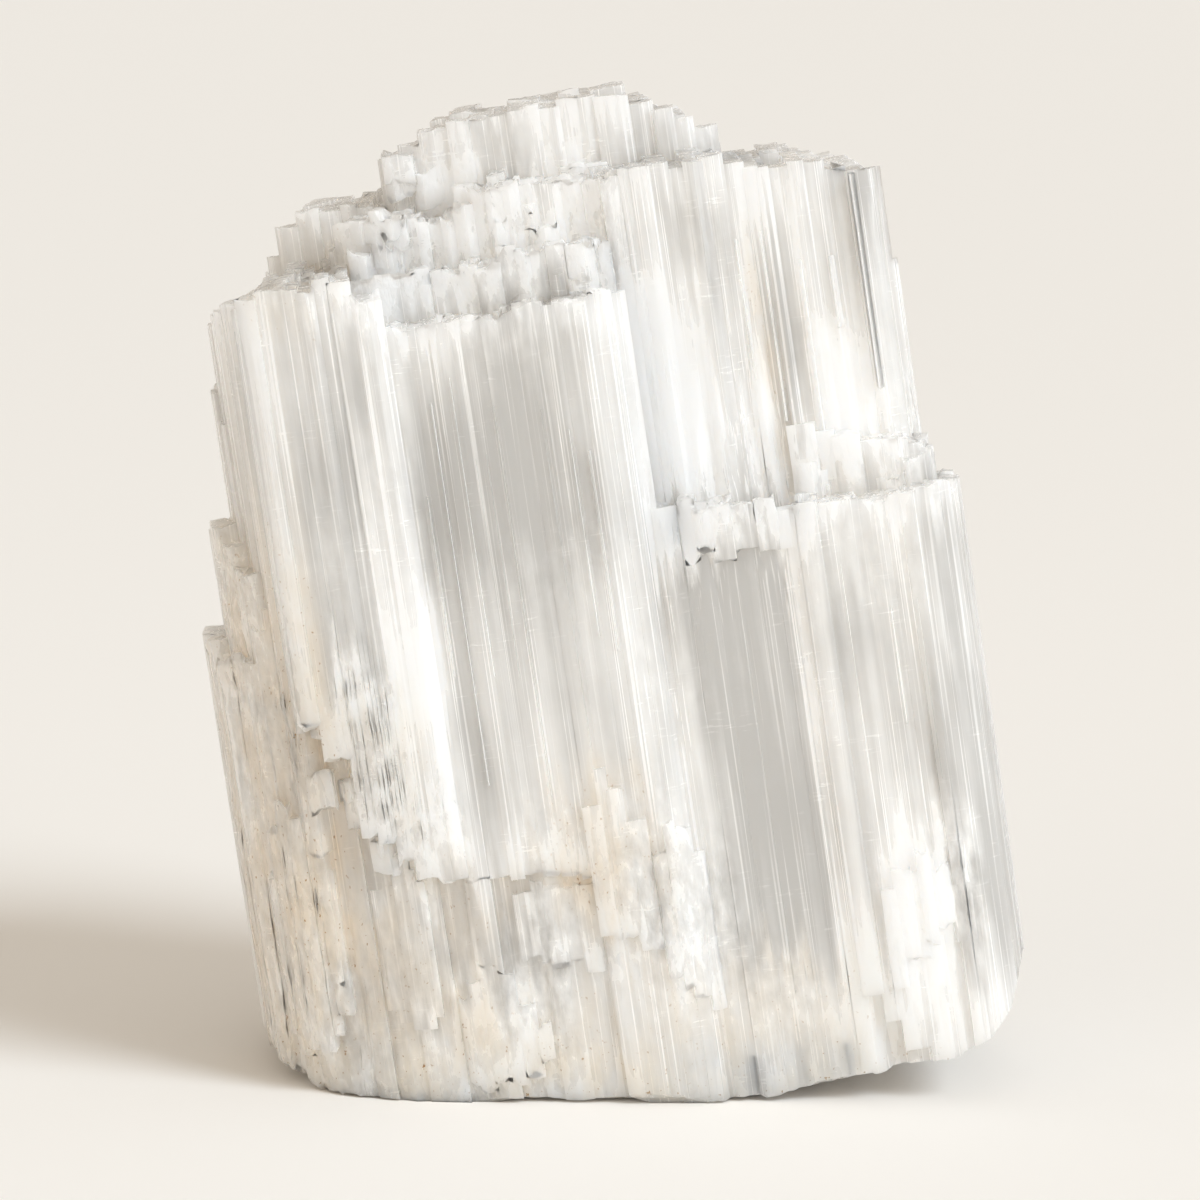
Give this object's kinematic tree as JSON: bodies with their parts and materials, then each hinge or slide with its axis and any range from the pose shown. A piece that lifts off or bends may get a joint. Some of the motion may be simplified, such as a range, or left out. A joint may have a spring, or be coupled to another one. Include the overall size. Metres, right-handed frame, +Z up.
{
  "type": "selenite crystal",
  "caption": "Standing chunk of fibrous white selenite, made of parallel upright crystal blades grown together and broken off at stepped heights.",
  "frame": {"origin": "on the surface that the chunk stands on, under the middle of its outline", "axes": "+Z up, +X to the right seen from the broad striped front face, -Y out of that front face; the blades lean 8.3 degrees from +Z towards -X"},
  "size_m": [0.0974, 0.0616, 0.1172],
  "materials": {
    "selenite": "translucent satin white with clearer glassy windows, silky along the blades, warmer and rougher towards the foot"
  },
  "bodies": {
    "root": {"selenite_crystal": "selenite"}
  },
  "joints": []
}
